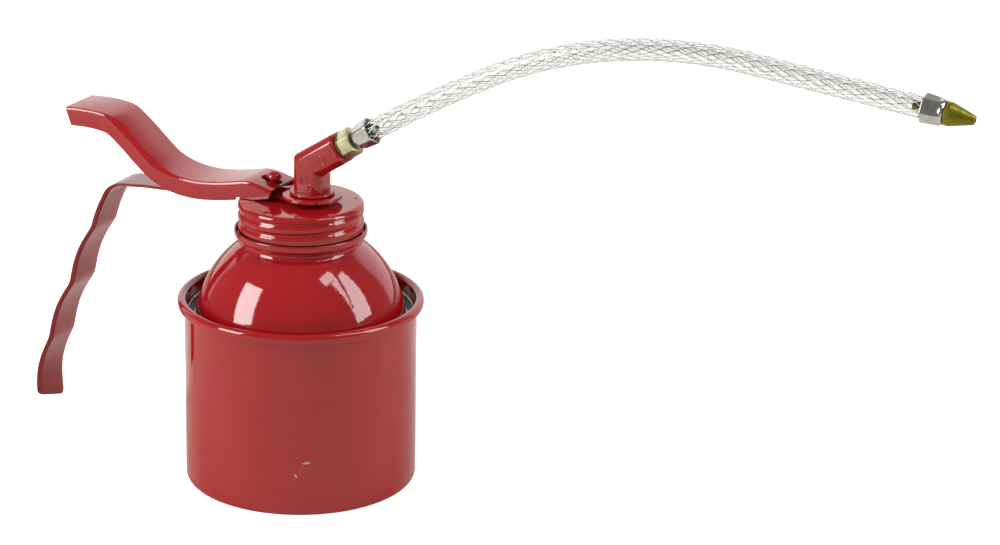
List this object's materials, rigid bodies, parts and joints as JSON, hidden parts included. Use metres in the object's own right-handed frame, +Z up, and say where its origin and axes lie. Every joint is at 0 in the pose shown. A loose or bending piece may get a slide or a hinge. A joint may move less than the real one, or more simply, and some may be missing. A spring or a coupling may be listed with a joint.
{
  "type": "oil can with flexible spout",
  "caption": "Pump oil can: seamed cup and dome, screw cap with lever and grip strap, lift pump inside, and a clear braided flexible spout with a brass nozzle.",
  "frame": {"origin": "centre of the can's flat base, on the surface it rests on", "axes": "+Z up along the can's axis; +X towards the spout, -X towards the lever and grip strap"},
  "size_m": [0.3719, 0.0932, 0.1918],
  "materials": {
    "red_enamel_cup": "gloss red stove enamel",
    "red_enamel_dome": "gloss red stove enamel",
    "grey_solder": "dull grey solder",
    "bare_steel_neck": "plain drawn steel",
    "black_rubber_neck": "black nitrile rubber",
    "red_enamel_cap": "gloss red stove enamel",
    "red_enamel_strap": "gloss red stove enamel",
    "red_enamel_washer": "gloss red stove enamel",
    "red_enamel_elbow": "gloss red stove enamel",
    "zinc_casting_block": "bare zinc die casting",
    "fibre_block": "brown sealing fibre",
    "black_rubber_rod": "black nitrile rubber",
    "brass_bush": "dulled brass",
    "brass_barrel": "dulled brass",
    "brass_foot_valve": "dulled brass",
    "brass_suction_tube": "dulled brass",
    "bare_steel_strainer": "plain drawn steel",
    "fibre_nipple": "brown sealing fibre",
    "yellow_zinc_nipple": "yellow chromated zinc plate",
    "nickel_root_ferrule": "bright nickel plate",
    "clear_pvc_root": "clear hose with white braid in its wall",
    "red_enamel_lever": "gloss red stove enamel",
    "red_enamel_rod": "gloss red stove enamel",
    "brass_piston": "dulled brass",
    "black_rubber_piston": "black nitrile rubber",
    "brass_piston_seat": "dulled brass",
    "bare_steel_spring": "plain drawn steel",
    "bare_steel_piston_ball": "plain drawn steel",
    "bare_steel_inlet_ball": "plain drawn steel",
    "clear_pvc_tip": "clear hose with white braid in its wall",
    "nickel_tip_ferrule": "bright nickel plate",
    "brass_nozzle": "dulled brass"
  },
  "bodies": {
    "can": {"base_cup": "red_enamel_cup", "dome_shoulder": "red_enamel_dome", "seam_solder": "grey_solder", "threaded_neck": "bare_steel_neck"},
    "gasket": {"neck_gasket": "black_rubber_neck"},
    "head": {"screw_cap": "red_enamel_cap", "grip_strap": "red_enamel_strap", "clamp_washer": "red_enamel_washer", "spout_elbow": "red_enamel_elbow", "pump_block": "zinc_casting_block", "block_gasket": "fibre_block", "rod_seal": "black_rubber_rod", "rod_bush": "brass_bush", "pump_barrel": "brass_barrel", "foot_valve_body": "brass_foot_valve", "suction_tube": "brass_suction_tube", "suction_strainer": "bare_steel_strainer", "nipple_washer": "fibre_nipple", "spout_nipple": "yellow_zinc_nipple", "root_ferrule": "nickel_root_ferrule", "hose_root": "clear_pvc_root"},
    "lever": {"pump_lever": "red_enamel_lever"},
    "rod": {"pump_rod": "red_enamel_rod", "piston": "brass_piston", "piston_seal": "black_rubber_piston", "piston_seat": "brass_piston_seat", "return_spring": "bare_steel_spring"},
    "piston_valve": {"piston_ball": "bare_steel_piston_ball"},
    "inlet_valve": {"inlet_ball": "bare_steel_inlet_ball"},
    "spout_tip": {"hose_tip": "clear_pvc_tip", "tip_ferrule": "nickel_tip_ferrule", "spout_nozzle": "brass_nozzle"}
  },
  "joints": [
    {"name": "cap_lift", "type": "slide", "parent": "can", "child": "gasket", "axis": [0, 0, 1], "range_m": [0, 0.0088]},
    {"name": "cap_turn", "type": "hinge", "parent": "gasket", "child": "head", "pos_m": [0, 0, 0.105], "axis": [0, 0, 1], "range_deg": [0, 720]},
    {"name": "lever_squeeze", "type": "hinge", "parent": "head", "child": "lever", "pos_m": [-0.0202, 0, 0.11035], "axis": [0, -1, 0], "range_deg": [0, 8], "stiffness_Nm_per_rad": 0.083, "springref_deg": -50.42},
    {"name": "rod_lift", "type": "slide", "parent": "head", "child": "rod", "axis": [0, 0, 1], "range_m": [0, 0.0013], "deforming": ["return_spring"]},
    {"name": "piston_ball_lift", "type": "slide", "parent": "rod", "child": "piston_valve", "axis": [0, 0, 1], "range_m": [0, 0.0012]},
    {"name": "inlet_ball_lift", "type": "slide", "parent": "head", "child": "inlet_valve", "axis": [0, 0, 1], "range_m": [0, 0.0012]},
    {"name": "spout_bend", "type": "hinge", "parent": "head", "child": "spout_tip", "pos_m": [0.11824, 0, 0.18333], "axis": [0, 1, 0], "range_deg": [-30, 30], "stiffness_Nm_per_rad": 0.15, "springref_deg": -3.61}
  ],
  "couplings": [
    {"joint": "cap_lift", "follows": "cap_turn", "m_per_rad": 0.00070028},
    {"joint": "rod_lift", "follows": "lever_squeeze", "m_per_rad": 0.0089}
  ]
}
